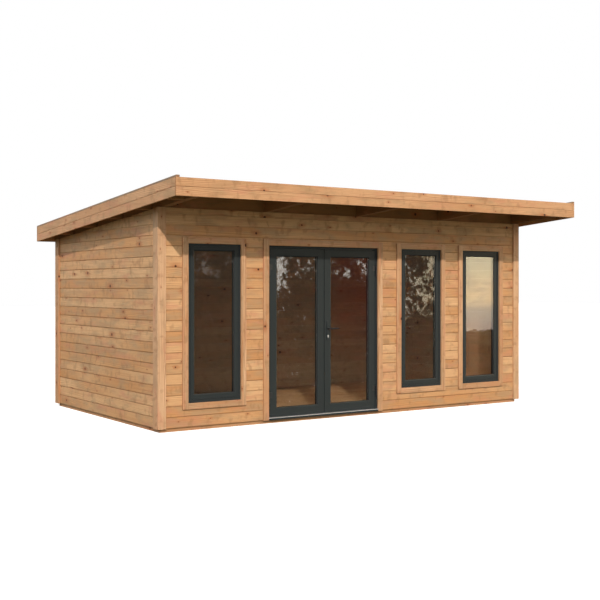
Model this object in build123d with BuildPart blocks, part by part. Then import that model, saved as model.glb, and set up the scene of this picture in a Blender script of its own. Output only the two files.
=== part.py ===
from build123d import *
import os
from math import radians, tan

os.makedirs("parts", exist_ok=True)

# A garden office pod: a timber cabin whose flat roof falls to the back, with a
# pair of glazed doors and three tall windows in its front wall.
# Millimetres. X runs along the front from left to right, the front faces -Y and
# Z is up. The origin is on the ground, at the centre of the base.

# Base and floor
base_length = 5000
base_depth = 2800
bearer_height = 38
bearer_width = 70
bearer_count = 5
deck_thickness = 18

# Walls: a lined frame, with boards outside it that hang below the floor
wall_thickness = 80
cladding_thickness = 20
cladding_foot = 36
corner_board_width = 93
corner_board_thickness = 20

# Roof: the height is that of its top surface at the front edge, and the
# overhangs are measured from the base to the outside of the fascias
roof_height = 2493
roof_pitch = 4.37
front_overhang = 792
back_overhang = 193
side_overhang = 218
covering_thickness = 3
roof_deck_thickness = 18
rafter_depth = 145
rafter_width = 70
rafter_count = 5
lookout_width = 45
lookout_count = 5
lookout_start = 232
lookout_spacing = 710
block_width = 45
fascia_height = 175
fascia_thickness = 20
fascia_upper_board = 85
fascia_joint_width = 3
fascia_joint_depth = 4
verge_strip_width = 39
verge_strip_height = 18

# Windows and doors share the front with equal piers, and both end piers are
# narrower; their heads line up below the top of the wall
end_pier_reduction = 40
lintel_height = 356
trim_thickness = 20
frame_lap = 15
frame_gap = 5

# Windows
window_width = 625
window_sill = 281
window_stile = 75
window_top_rail = 68
window_bottom_rail = 82
window_frame_depth = 60
window_trim_width = 62
sash_line_inset = 28
sash_line_width = 4
sash_line_depth = 8

# Double glazing, held in a groove all round, a little behind the frame's face
glass_thickness = 24
glass_recess = 9
glass_hold = 12
glass_edge_gap = 3
glazing_bevel = 5
bead_width = 16
bead_line_width = 2
bead_line_depth = 3
bead_bevel = 5

# Doors
door_width = 1485
door_trim_width = 66
door_setback = 10
door_frame_face = 23
door_stop_height = 15
door_stop_depth = 15
leaf_gap = 5
meeting_gap = 9
leaf_thickness = 60
leaf_stile = 85
leaf_top_rail = 83
leaf_bottom_rail = 93
threshold_thickness = 5
threshold_nose = 5
threshold_gap = 6
threshold_edge = 2

# Hinges: the pin stands off the leaf's edge and face
hinge_offset = 14
hinge_standoff = 10
hinge_radius = 8
hinge_height = 120
hinge_plate_thickness = 3
hinge_plate_width = 32
hinge_split = 0.5
hinge_above_foot = 203
hinge_below_head = 234
hinge_cap_radius = 5.5
hinge_cap_height = 4
hinge_cap_edge = 1.5

# Handle, on the meeting stile of the right door
handle_height = 947
handle_plate_width = 30
handle_plate_height = 220
handle_plate_thickness = 8
handle_plate_edge = 2
handle_plate_drop = 23
handle_play = 0.3
lever_neck_radius = 9
lever_neck_length = 32
lever_length = 118
lever_height = 20
lever_tip_height = 15
lever_thickness = 12
lever_edge = 3
cylinder_drop = 81
cylinder_radius = 8.5
cylinder_leg_width = 10
cylinder_leg_drop = 16
cylinder_projection = 5

# Lines that several pieces share
left_end = -base_length / 2
right_end = base_length / 2
base_front = -base_depth / 2
base_back = base_depth / 2
deck_top = bearer_height + deck_thickness
cladding_front = base_front - cladding_thickness
cladding_back = base_back + cladding_thickness
cladding_left = left_end - cladding_thickness
cladding_right = right_end + cladding_thickness
trim_front = cladding_front - trim_thickness
front_wall_inside = base_front + wall_thickness
back_wall_inside = base_back - wall_thickness

front_edge = base_front - front_overhang
back_edge = base_back + back_overhang
left_edge = left_end - side_overhang
right_edge = right_end + side_overhang
deck_under = covering_thickness + roof_deck_thickness
rafter_under = deck_under + rafter_depth

pier_width = (
    base_length - 3 * window_width - door_width + 2 * end_pier_reduction
) / 5
window_left_start = left_end + pier_width - end_pier_reduction
door_start = window_left_start + window_width + pier_width
door_end = door_start + door_width
window_centre_start = door_end + pier_width
window_right_start = window_centre_start + window_width + pier_width
window_starts = {
    "left": window_left_start,
    "centre": window_centre_start,
    "right": window_right_start,
}


def roof_line(y, depth):
    """Height at y of the plane that lies depth below the roof's top surface."""
    return roof_height - (y - front_edge) * tan(radians(roof_pitch)) - depth


door_head = roof_line(cladding_front, rafter_under) - lintel_height
window_head = door_head

door_face = cladding_front + door_setback
threshold_top = deck_top + threshold_thickness
leaf_foot = threshold_top + threshold_gap
leaf_head = door_head - door_frame_face - leaf_gap
leaf_inset = door_frame_face + leaf_gap
meeting_line = (door_start + door_end) / 2
leaf_spans = {
    "left": (door_start + leaf_inset, meeting_line - meeting_gap / 2),
    "right": (meeting_line + meeting_gap / 2, door_end - leaf_inset),
}
hinge_line = door_face - hinge_standoff
hinge_levels = (leaf_foot + hinge_above_foot, leaf_head - hinge_below_head)
handle_level = deck_top + handle_height
handle_plate_centre = handle_level - handle_plate_drop
cylinder_level = handle_level - cylinder_drop


def front_plane(y):
    """An upright plane at y that faces the front, with X to the right and Z up."""
    return Plane.XZ.offset(-y)


def panel(x_left, z_bottom, x_right, z_top, mode=Mode.ADD):
    """Draw a rectangle between two corners."""
    with Locations(((x_left + x_right) / 2, (z_bottom + z_top) / 2)):
        Rectangle(x_right - x_left, z_top - z_bottom, mode=mode)


def sloping_bar(x_left, x_right, y_front, y_back, upper, lower):
    """Add a bar whose top and underside both follow the roof."""
    with BuildSketch(Plane.YZ.offset(x_left)) as section:
        with BuildLine():
            Polyline(
                (y_front, roof_line(y_front, lower)),
                (y_back, roof_line(y_back, lower)),
                (y_back, roof_line(y_back, upper)),
                (y_front, roof_line(y_front, upper)),
                close=True,
            )
        make_face()
    extrude(section.sketch, amount=x_right - x_left)


def upright(x_left, x_right, y_front, y_back, foot):
    """Add a wall or a board that stands at foot and is cut to the rafters' undersides."""
    with BuildSketch(Plane.YZ.offset(x_left)) as section:
        with BuildLine():
            Polyline(
                (y_front, foot),
                (y_back, foot),
                (y_back, roof_line(y_back, rafter_under)),
                (y_front, roof_line(y_front, rafter_under)),
                close=True,
            )
        make_face()
    extrude(section.sketch, amount=x_right - x_left)


def cut_front_opening(x_left, z_bottom, x_right, z_top):
    """Cut an opening through the front wall and its boards."""
    with BuildSketch(front_plane(cladding_front)) as opening:
        panel(x_left, z_bottom, x_right, z_top)
    depth = cladding_thickness + wall_thickness
    extrude(opening.sketch, amount=-depth, mode=Mode.SUBTRACT)


def cut_window(x_start):
    """Cut the opening that a window frame stands in."""
    reach = frame_lap + frame_gap
    cut_front_opening(
        x_start - reach,
        window_sill - frame_lap,
        x_start + window_width + reach,
        window_head + reach,
    )


def widened(corners, reach):
    """The corners of a rectangle moved outwards by reach."""
    x_left, z_bottom, x_right, z_top = corners
    return x_left - reach, z_bottom - reach, x_right + reach, z_top + reach


def cut_line(corners, width, depth, face, inward):
    """Cut a line of width outside a rectangle, from face to depth; inward is -1 for +Y."""
    with BuildSketch(front_plane(face)) as line:
        panel(*widened(corners, width))
        panel(*corners, mode=Mode.SUBTRACT)
    extrude(line.sketch, amount=inward * depth, mode=Mode.SUBTRACT)


def glazed_frame(x_left, z_bottom, x_right, z_top, stile, bottom_rail, top_rail, face, depth):
    """Add a four-sided frame with bevelled sight lines, a groove for the glass and beads inside."""
    sight = (x_left + stile, z_bottom + bottom_rail, x_right - stile, z_top - top_rail)
    with BuildSketch(front_plane(face)) as outline:
        panel(x_left, z_bottom, x_right, z_top)
        panel(*sight, mode=Mode.SUBTRACT)
    frame = extrude(outline.sketch, amount=-depth)
    outer_face = frame.faces().sort_by(Axis.Y)[0]
    chamfer(outer_face.inner_wires()[0].edges(), length=glazing_bevel)
    inner_face = frame.faces().sort_by(Axis.Y)[-1]
    chamfer(inner_face.inner_wires()[0].edges(), length=bead_bevel)
    with BuildSketch(front_plane(face + glass_recess)) as groove:
        panel(*widened(sight, glass_hold + glass_edge_gap))
    extrude(groove.sketch, amount=-glass_thickness, mode=Mode.SUBTRACT)
    cut_line(widened(sight, bead_width), bead_line_width, bead_line_depth, face + depth, 1)


def glass_sheet(x_left, z_bottom, x_right, z_top, stile, bottom_rail, top_rail, face):
    """Add the sealed unit that the groove of such a frame holds."""
    with BuildSketch(front_plane(face + glass_recess)) as sheet:
        panel(
            x_left + stile - glass_hold,
            z_bottom + bottom_rail - glass_hold,
            x_right - stile + glass_hold,
            z_top - top_rail + glass_hold,
        )
    extrude(sheet.sketch, amount=-glass_thickness)


def window_outline(x_start):
    """Corners, rails and face of the window frame that starts at x_start."""
    return (
        x_start - frame_lap,
        window_sill - frame_lap,
        x_start + window_width + frame_lap,
        window_head + frame_lap,
        window_stile + frame_lap,
        window_bottom_rail + frame_lap,
        window_top_rail + frame_lap,
        cladding_front,
    )


def leaf_outline(side):
    """Corners, rails and face of one door leaf."""
    x_left, x_right = leaf_spans[side]
    return (
        x_left,
        leaf_foot,
        x_right,
        leaf_head,
        leaf_stile,
        leaf_bottom_rail,
        leaf_top_rail,
        door_face,
    )


# Base: bearers along the building, closed at both ends by short pieces
bearer_step = (base_depth - bearer_width) / (bearer_count - 1)

with BuildPart() as base_bearers:
    with BuildSketch():
        with GridLocations(0, bearer_step, 1, bearer_count):
            Rectangle(base_length, bearer_width)
    extrude(amount=bearer_height)
base_bearers.part.label = "base_bearers"
export_step(base_bearers.part, "parts/base_bearers.step")

with BuildPart() as end_bearers:
    with BuildSketch():
        with GridLocations(base_length - bearer_width, bearer_step, 2, bearer_count - 1):
            Rectangle(bearer_width, bearer_step - bearer_width)
    extrude(amount=bearer_height)
end_bearers.part.label = "end_bearers"
export_step(end_bearers.part, "parts/end_bearers.step")

with BuildPart() as floor_deck:
    with BuildSketch(Plane.XY.offset(bearer_height)):
        Rectangle(base_length, base_depth)
    extrude(amount=deck_thickness)
floor_deck.part.label = "floor_deck"
export_step(floor_deck.part, "parts/floor_deck.step")

# Walls, split beside and over the doorway
door_reach = frame_lap + frame_gap

with BuildPart() as front_wall_left:
    upright(left_end, door_start - door_reach, base_front, front_wall_inside, deck_top)
    cut_window(window_starts["left"])
front_wall_left.part.label = "front_wall_left"
export_step(front_wall_left.part, "parts/front_wall_left.step")

with BuildPart() as front_wall_right:
    upright(door_end + door_reach, right_end, base_front, front_wall_inside, deck_top)
    cut_window(window_starts["centre"])
    cut_window(window_starts["right"])
front_wall_right.part.label = "front_wall_right"
export_step(front_wall_right.part, "parts/front_wall_right.step")

with BuildPart() as front_wall_over_door:
    upright(
        door_start - door_reach,
        door_end + door_reach,
        base_front,
        front_wall_inside,
        door_head + frame_lap,
    )
front_wall_over_door.part.label = "front_wall_over_door"
export_step(front_wall_over_door.part, "parts/front_wall_over_door.step")

with BuildPart() as left_wall:
    upright(left_end, left_end + wall_thickness, front_wall_inside, back_wall_inside, deck_top)
left_wall.part.label = "left_wall"
export_step(left_wall.part, "parts/left_wall.step")

with BuildPart() as right_wall:
    upright(right_end - wall_thickness, right_end, front_wall_inside, back_wall_inside, deck_top)
right_wall.part.label = "right_wall"
export_step(right_wall.part, "parts/right_wall.step")

with BuildPart() as back_wall:
    upright(left_end, right_end, back_wall_inside, base_back, deck_top)
back_wall.part.label = "back_wall"
export_step(back_wall.part, "parts/back_wall.step")

# Boards on the outside of the walls
with BuildPart() as front_cladding:
    upright(cladding_left, cladding_right, cladding_front, base_front, cladding_foot)
    for x_start in window_starts.values():
        cut_window(x_start)
    cut_front_opening(
        door_start - door_reach, cladding_foot, door_end + door_reach, door_head + frame_lap
    )
front_cladding.part.label = "front_cladding"
export_step(front_cladding.part, "parts/front_cladding.step")

with BuildPart() as back_cladding:
    upright(cladding_left, cladding_right, base_back, cladding_back, cladding_foot)
back_cladding.part.label = "back_cladding"
export_step(back_cladding.part, "parts/back_cladding.step")

with BuildPart() as left_cladding:
    upright(cladding_left, left_end, base_front, base_back, cladding_foot)
left_cladding.part.label = "left_cladding"
export_step(left_cladding.part, "parts/left_cladding.step")

with BuildPart() as right_cladding:
    upright(right_end, cladding_right, base_front, base_back, cladding_foot)
right_cladding.part.label = "right_cladding"
export_step(right_cladding.part, "parts/right_cladding.step")

# Corner boards: those that face front and back lap over the edges of the others
corner_left = cladding_left - corner_board_thickness
corner_right = cladding_right + corner_board_thickness

with BuildPart() as end_corner_boards:
    for x_left, x_right in ((corner_left, cladding_left), (cladding_right, corner_right)):
        upright(x_left, x_right, cladding_front, cladding_front + corner_board_width, cladding_foot)
        upright(x_left, x_right, cladding_back - corner_board_width, cladding_back, cladding_foot)
end_corner_boards.part.label = "end_corner_boards"
export_step(end_corner_boards.part, "parts/end_corner_boards.step")

with BuildPart() as front_corner_boards:
    for x_left in (corner_left, corner_right - corner_board_width):
        x_right = x_left + corner_board_width
        upright(
            x_left, x_right, cladding_front - corner_board_thickness, cladding_front, cladding_foot
        )
        upright(
            x_left, x_right, cladding_back, cladding_back + corner_board_thickness, cladding_foot
        )
front_corner_boards.part.label = "front_corner_boards"
export_step(front_corner_boards.part, "parts/front_corner_boards.step")

# Windows: the frames stand in the wall with their edges under the trims
for place, x_start in window_starts.items():
    with BuildPart() as window_frame:
        glazed_frame(*window_outline(x_start), window_frame_depth)
        opening = (x_start, window_sill, x_start + window_width, window_head)
        sash = widened(opening, -(sash_line_inset + sash_line_width))
        cut_line(sash, sash_line_width, sash_line_depth, cladding_front, -1)
    window_frame.part.label = f"window_frame_{place}"
    export_step(window_frame.part, f"parts/window_frame_{place}.step")

with BuildPart() as window_glass:
    for x_start in window_starts.values():
        glass_sheet(*window_outline(x_start))
window_glass.part.label = "window_glass"
export_step(window_glass.part, "parts/window_glass.step")

with BuildPart() as window_trims:
    with BuildSketch(front_plane(trim_front)):
        for x_start in window_starts.values():
            x_end = x_start + window_width
            panel(
                x_start - window_trim_width,
                window_sill - window_trim_width,
                x_end + window_trim_width,
                window_head + window_trim_width,
            )
            panel(x_start, window_sill, x_end, window_head, mode=Mode.SUBTRACT)
    extrude(amount=-trim_thickness)
window_trims.part.label = "window_trims"
export_step(window_trims.part, "parts/window_trims.step")

# Doorway: the frame's stop stands behind the leaves, which open outwards
with BuildPart() as door_frame:
    outer = (door_start - frame_lap, threshold_top, door_end + frame_lap, door_head + frame_lap)
    with BuildSketch(front_plane(door_face)):
        panel(*outer)
        panel(
            door_start + door_frame_face,
            threshold_top,
            door_end - door_frame_face,
            door_head - door_frame_face,
            mode=Mode.SUBTRACT,
        )
    extrude(amount=-(leaf_thickness + leaf_gap))
    stop_inset = door_frame_face + door_stop_height
    with BuildSketch(front_plane(door_face + leaf_thickness + leaf_gap)):
        panel(*outer)
        panel(
            door_start + stop_inset,
            threshold_top,
            door_end - stop_inset,
            door_head - stop_inset,
            mode=Mode.SUBTRACT,
        )
    extrude(amount=-door_stop_depth)
door_frame.part.label = "door_frame"
export_step(door_frame.part, "parts/door_frame.step")

stop_front = door_face + leaf_thickness + leaf_gap
stop_back = stop_front + door_stop_depth

with BuildPart() as door_threshold:
    with BuildSketch(Plane.YZ.offset(door_start - frame_lap)):
        panel(base_front, deck_top, stop_back, threshold_top)
    extrude(amount=door_width + 2 * frame_lap)
    with BuildSketch(Plane.YZ.offset(door_start)):
        panel(trim_front - threshold_nose, deck_top, base_front, threshold_top)
    nose = extrude(amount=door_width)
    front_edges = nose.edges().filter_by(Axis.X).group_by(Axis.Y)[0]
    chamfer(front_edges.sort_by(Axis.Z)[-1], length=threshold_edge)
    with BuildSketch(Plane.YZ.offset(door_start + stop_inset)):
        panel(stop_front, threshold_top, stop_back, threshold_top + door_stop_height)
    extrude(amount=door_width - 2 * stop_inset)
door_threshold.part.label = "door_threshold"
export_step(door_threshold.part, "parts/door_threshold.step")

with BuildPart() as door_sill:
    with BuildSketch(Plane.YZ.offset(door_start)):
        panel(trim_front, cladding_foot, base_front, deck_top)
    extrude(amount=door_width)
door_sill.part.label = "door_sill"
export_step(door_sill.part, "parts/door_sill.step")

with BuildPart() as door_trim:
    with BuildSketch(front_plane(trim_front)):
        panel(
            door_start - door_trim_width,
            cladding_foot,
            door_end + door_trim_width,
            door_head + door_trim_width,
        )
        panel(door_start, cladding_foot, door_end, door_head, mode=Mode.SUBTRACT)
    extrude(amount=-trim_thickness)
door_trim.part.label = "door_trim"
export_step(door_trim.part, "parts/door_trim.step")

# Door leaves
with BuildPart() as left_door:
    glazed_frame(*leaf_outline("left"), leaf_thickness)
left_door.part.label = "left_door"
export_step(left_door.part, "parts/left_door.step")

with BuildPart() as right_door:
    glazed_frame(*leaf_outline("right"), leaf_thickness)
right_door.part.label = "right_door"
export_step(right_door.part, "parts/right_door.step")

with BuildPart() as left_door_glass:
    glass_sheet(*leaf_outline("left"))
left_door_glass.part.label = "left_door_glass"
export_step(left_door_glass.part, "parts/left_door_glass.step")

with BuildPart() as right_door_glass:
    glass_sheet(*leaf_outline("right"))
right_door_glass.part.label = "right_door_glass"
export_step(right_door_glass.part, "parts/right_door_glass.step")

# Hinges: the lower knuckle is on the frame and the upper one on the leaf, and
# inward is +1 where the leaf lies to the right of its pin
hinge_sides = {
    "left": (leaf_spans["left"][0] - hinge_offset, 1),
    "right": (leaf_spans["right"][1] + hinge_offset, -1),
}
knuckle_height = (hinge_height - hinge_split) / 2


def knuckle(x_pin, inward, foot, reach_in, reach_out):
    """Add a knuckle with a plate on the face behind it, from reach_in to reach_out."""
    with BuildSketch(Plane.XY.offset(foot)) as plan:
        with Locations((x_pin, hinge_line)):
            Circle(hinge_radius)
        x_in = x_pin + inward * reach_in
        x_out = x_pin - inward * reach_out
        panel(
            min(x_in, x_out), door_face - hinge_plate_thickness, max(x_in, x_out), door_face
        )
    extrude(plan.sketch, amount=knuckle_height)


def pin_cap(x_pin, level, upward):
    """Add the end of the pin beyond a knuckle; upward is +1 or -1."""
    with BuildSketch(Plane.XY.offset(level)) as plan:
        with Locations((x_pin, hinge_line)):
            Circle(hinge_cap_radius)
    cap = extrude(plan.sketch, amount=upward * hinge_cap_height)
    ends = cap.faces().sort_by(Axis.Z)
    chamfer(ends[-1 if upward > 0 else 0].edges(), length=hinge_cap_edge)


with BuildPart() as frame_hinges:
    for x_pin, inward in hinge_sides.values():
        for level in hinge_levels:
            band_edge = hinge_offset - leaf_gap
            foot = level - hinge_height / 2
            knuckle(x_pin, inward, foot, band_edge, band_edge)
            pin_cap(x_pin, foot, -1)
frame_hinges.part.label = "frame_hinges"
export_step(frame_hinges.part, "parts/frame_hinges.step")

for side, (x_pin, inward) in hinge_sides.items():
    with BuildPart() as leaf_hinges:
        for level in hinge_levels:
            knuckle(
                x_pin,
                inward,
                level + hinge_split / 2,
                hinge_offset + hinge_plate_width,
                0,
            )
            pin_cap(x_pin, level + hinge_height / 2, 1)
    leaf_hinges.part.label = f"{side}_door_hinges"
    export_step(leaf_hinges.part, f"parts/{side}_door_hinges.step")

# Handle: a plate on each face of the right door, a lever on each plate
handle_x = leaf_spans["right"][0] + leaf_stile / 2
inner_face = door_face + leaf_thickness

with BuildPart() as handle_plates:
    for face, depth in ((door_face, handle_plate_thickness), (inner_face, -handle_plate_thickness)):
        with BuildSketch(front_plane(face)):
            with Locations((handle_x, handle_plate_centre)):
                SlotOverall(handle_plate_height, handle_plate_width, rotation=90)
        plate = extrude(amount=depth)
        ends = plate.faces().sort_by(Axis.Y)
        chamfer(ends[0 if depth > 0 else -1].edges(), length=handle_plate_edge)
handle_plates.part.label = "handle_plates"
export_step(handle_plates.part, "parts/handle_plates.step")

with BuildPart() as lock_cylinder:
    for face, outward in (
        (door_face - handle_plate_thickness, 1),
        (inner_face + handle_plate_thickness, -1),
    ):
        with BuildSketch(front_plane(face)):
            with Locations((handle_x, cylinder_level)):
                Circle(cylinder_radius)
            with Locations((handle_x, cylinder_level - cylinder_leg_drop / 2)):
                SlotOverall(
                    cylinder_leg_drop + cylinder_leg_width, cylinder_leg_width, rotation=90
                )
        extrude(amount=outward * cylinder_projection)
lock_cylinder.part.label = "lock_cylinder"
export_step(lock_cylinder.part, "parts/lock_cylinder.step")

with BuildPart() as door_levers:
    for face, outward in (
        (door_face - handle_plate_thickness - handle_play, 1),
        (inner_face + handle_plate_thickness + handle_play, -1),
    ):
        with BuildSketch(front_plane(face)):
            with Locations((handle_x, handle_level)):
                Circle(lever_neck_radius)
        extrude(amount=outward * lever_neck_length)
        with BuildSketch(front_plane(face - outward * lever_neck_length)):
            with Locations((handle_x, handle_level)):
                Circle(lever_height / 2)
            with Locations((handle_x + lever_length, handle_level)):
                Circle(lever_tip_height / 2)
            make_hull()
        grip = extrude(amount=outward * lever_thickness)
        ends = grip.faces().sort_by(Axis.Y)
        fillet(ends[0 if outward > 0 else -1].edges(), radius=lever_edge)
door_levers.part.label = "door_levers"
export_step(door_levers.part, "parts/door_levers.step")

# Roof frame: rafters from fascia to fascia, the outer two on the end walls
rafter_front = front_edge + fascia_thickness
rafter_back = back_edge - fascia_thickness
rafter_step = (base_length - rafter_width) / (rafter_count - 1)
rafter_starts = [left_end + index * rafter_step for index in range(rafter_count)]

with BuildPart() as rafters:
    for x_left in rafter_starts:
        sloping_bar(
            x_left, x_left + rafter_width, rafter_front, rafter_back, deck_under, rafter_under
        )
rafters.part.label = "rafters"
export_step(rafters.part, "parts/rafters.step")

# Lookouts carry the fascias that stand off the end walls
first_lookout = rafter_front + lookout_start
lookout_places = [first_lookout + index * lookout_spacing for index in range(lookout_count)]

with BuildPart() as lookouts:
    for y_front in lookout_places:
        for x_left, x_right in (
            (left_edge + fascia_thickness, left_end),
            (right_end, right_edge - fascia_thickness),
        ):
            sloping_bar(x_left, x_right, y_front, y_front + lookout_width, deck_under, rafter_under)
lookouts.part.label = "lookouts"
export_step(lookouts.part, "parts/lookouts.step")

# Blocks close the gaps between the rafters over the front and back walls
with BuildPart() as eaves_blocks:
    for x_left in rafter_starts[:-1]:
        for y_front in (base_front, base_back - block_width):
            sloping_bar(
                x_left + rafter_width,
                x_left + rafter_step,
                y_front,
                y_front + block_width,
                deck_under,
                rafter_under,
            )
eaves_blocks.part.label = "eaves_blocks"
export_step(eaves_blocks.part, "parts/eaves_blocks.step")

with BuildPart() as roof_deck:
    sloping_bar(
        left_edge + fascia_thickness,
        right_edge - fascia_thickness,
        rafter_front,
        rafter_back,
        covering_thickness,
        deck_under,
    )
roof_deck.part.label = "roof_deck"
export_step(roof_deck.part, "parts/roof_deck.step")

with BuildPart() as roof_covering:
    sloping_bar(
        left_edge + fascia_thickness,
        right_edge - fascia_thickness,
        rafter_front,
        rafter_back,
        0,
        covering_thickness,
    )
roof_covering.part.label = "roof_covering"
export_step(roof_covering.part, "parts/roof_covering.step")


# Fascias: two boards deep, with a narrow joint between them on the outside
def fascia_joint(x_left, x_right, y_front, y_back):
    """Cut the joint between the upper and the lower board."""
    upper = fascia_upper_board
    with BuildSketch(Plane.YZ.offset(x_left)) as joint:
        with BuildLine():
            Polyline(
                (y_front, roof_line(y_front, upper + fascia_joint_width)),
                (y_back, roof_line(y_back, upper + fascia_joint_width)),
                (y_back, roof_line(y_back, upper)),
                (y_front, roof_line(y_front, upper)),
                close=True,
            )
        make_face()
    extrude(joint.sketch, amount=x_right - x_left, mode=Mode.SUBTRACT)


with BuildPart() as front_fascia:
    inner_left = left_edge + fascia_thickness
    inner_right = right_edge - fascia_thickness
    sloping_bar(inner_left, inner_right, front_edge, rafter_front, 0, fascia_height)
    fascia_joint(inner_left, inner_right, front_edge, front_edge + fascia_joint_depth)
front_fascia.part.label = "front_fascia"
export_step(front_fascia.part, "parts/front_fascia.step")

with BuildPart() as back_fascia:
    sloping_bar(inner_left, inner_right, rafter_back, back_edge, 0, fascia_height)
    fascia_joint(inner_left, inner_right, back_edge - fascia_joint_depth, back_edge)
back_fascia.part.label = "back_fascia"
export_step(back_fascia.part, "parts/back_fascia.step")

with BuildPart() as left_fascia:
    sloping_bar(left_edge, inner_left, front_edge, back_edge, 0, fascia_height)
    fascia_joint(left_edge, left_edge + fascia_joint_depth, front_edge, back_edge)
left_fascia.part.label = "left_fascia"
export_step(left_fascia.part, "parts/left_fascia.step")

with BuildPart() as right_fascia:
    sloping_bar(inner_right, right_edge, front_edge, back_edge, 0, fascia_height)
    fascia_joint(right_edge - fascia_joint_depth, right_edge, front_edge, back_edge)
right_fascia.part.label = "right_fascia"
export_step(right_fascia.part, "parts/right_fascia.step")

with BuildPart() as verge_strips:
    for x_left in (left_edge, right_edge - verge_strip_width):
        x_right = x_left + verge_strip_width
        sloping_bar(x_left, x_right, front_edge, back_edge, -verge_strip_height, 0)
verge_strips.part.label = "verge_strips"
export_step(verge_strips.part, "parts/verge_strips.step")
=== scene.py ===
import math

import bmesh
import bpy
import numpy as np
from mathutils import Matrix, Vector


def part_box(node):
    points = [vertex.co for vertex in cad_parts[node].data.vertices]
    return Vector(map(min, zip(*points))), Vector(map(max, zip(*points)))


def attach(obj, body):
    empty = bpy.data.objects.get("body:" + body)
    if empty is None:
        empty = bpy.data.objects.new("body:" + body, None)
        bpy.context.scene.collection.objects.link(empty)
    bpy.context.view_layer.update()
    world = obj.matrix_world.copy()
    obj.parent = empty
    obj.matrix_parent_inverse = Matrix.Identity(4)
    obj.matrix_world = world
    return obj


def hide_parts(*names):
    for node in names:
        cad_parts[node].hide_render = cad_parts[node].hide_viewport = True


# The looks of a timber garden office pod. Metres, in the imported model's own frame:
# X runs along the front from left to right, the front faces -Y and Z is up.
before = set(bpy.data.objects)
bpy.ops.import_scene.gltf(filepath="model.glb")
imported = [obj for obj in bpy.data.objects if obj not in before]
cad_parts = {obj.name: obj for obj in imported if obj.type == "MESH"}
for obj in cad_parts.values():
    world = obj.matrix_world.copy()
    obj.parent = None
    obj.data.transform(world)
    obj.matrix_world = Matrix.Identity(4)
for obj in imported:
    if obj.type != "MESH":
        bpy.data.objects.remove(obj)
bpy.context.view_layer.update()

# Matched boards. A joint is the long bevel under one board and the small one on top of the next
COURSE_HEIGHT = 0.1085
BOARD_GAP = 0.0005
JOINT_BEVEL = 0.0090
JOINT_DEPTH = 0.0055
UPPER_BEVEL = 0.0010
# The share of the joints' dust and painted shade that the bevels hold
BEVEL_DUST_AND_SHADE = 0.15
TONGUE = 0.0060
TONGUE_PLACE = 0.42
TONGUE_SLACK = 0.0004
THINNEST_RIP = 0.012
SHORTEST_BOARD = 0.05
LINING_THICKNESS = 0.008
LINING_JOINT = 0.0030
LINING_TONGUE = 0.0030
FLOOR_BOARD_WIDTH = 0.1167
FLOOR_BOARD_GAP = 0.0006
FLOOR_JOINT = 0.0018
ROOF_BOARD_WIDTH = 0.1206
ROOF_BOARD_GAP = 0.0010
ROOF_JOINT = 0.0030
ROOF_TONGUE = 0.0050

# Planed boards
ARRIS = 0.0018
ARRIS_ANGLE = 50
TRIM_THICKNESS = 0.020
WINDOW_TRIM_WIDTH = 0.062
DOOR_TRIM_WIDTH = 0.066
CORNER_BOARD_WIDTH = 0.093
CORNER_BOARD_EXCESS = 0.2
FRAME_LAP = 0.015
LAP_CLEARANCE = 0.005
FASCIA_THICKNESS = 0.020
FASCIA_UPPER_BOARD = 0.085
FASCIA_JOINT = 0.003
FASCIA_HEIGHT = 0.175
FASCIA_JOINT_DEPTH = 0.004
VERGE_STRIP_WIDTH = 0.039

# Roof, from the top down
COVERING_THICKNESS = 0.003
ROOF_DECK_THICKNESS = 0.018
RAFTER_DEPTH = 0.145
ROOFING_WIDTH = 1.0
ROOFING_LAP = 0.075
ROOFING_THICKNESS = 0.0026
NARROWEST_SHEET = 0.02
LAP_RISE = 0.12
LAP_ROWS = (LAP_RISE, 0.5, 1.0)
LAP_EDGE = 0.3
EDGE_WANDER = 0.0016
EDGE_WAVES = 5.3
SHEET_SWELL = 0.00035

# Sealed glass units. The window's stile, foot and head reach from its frame's clear edge to the glass
PANE_THICKNESS = 0.004
GLASS_HOLD = 0.012
WINDOW_STILE = 0.075
WINDOW_FOOT = 0.082
WINDOW_HEAD = 0.068
SPACER_EDGE = 0.004
SPACER_SHOULDER = 0.012
SPACER_NOSE = 0.014
SPACER_BEVEL = 0.003
GASKET_HEEL = -0.004
GASKET_SHOULDER = 0.0005
GASKET_TIP = 0.0065
GASKET_HEIGHT = 0.0036
GASKET_TIP_HEIGHT = 0.0012

SAME_PLACE = 1e-6

# Lines taken from the carcass
covering_low, covering_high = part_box("roof_covering")
roof_fall = (covering_high.z - covering_low.z - COVERING_THICKNESS) / (covering_high.y - covering_low.y)
base_low, base_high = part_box("floor_deck")
strip_low, strip_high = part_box("verge_strips")
front_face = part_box("front_cladding")[0].y
back_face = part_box("back_cladding")[1].y
left_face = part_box("left_cladding")[0].x
right_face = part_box("right_cladding")[1].x
cladding_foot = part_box("front_cladding")[0].z
rafter_under = COVERING_THICKNESS + ROOF_DECK_THICKNESS + RAFTER_DEPTH
deck_top = base_high.z


def roof_line(y, depth=0.0):
    """Height at y of the plane that lies depth below the roof's top: it falls evenly to the back."""
    return covering_high.z - (y - covering_low.y) * roof_fall - depth


def clear_opening(node):
    """(left, foot, right, head) of what shows of a frame whose edges lie under its trims."""
    low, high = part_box(node)
    return low.x + FRAME_LAP, low.z + FRAME_LAP, high.x - FRAME_LAP, high.z - FRAME_LAP


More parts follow.
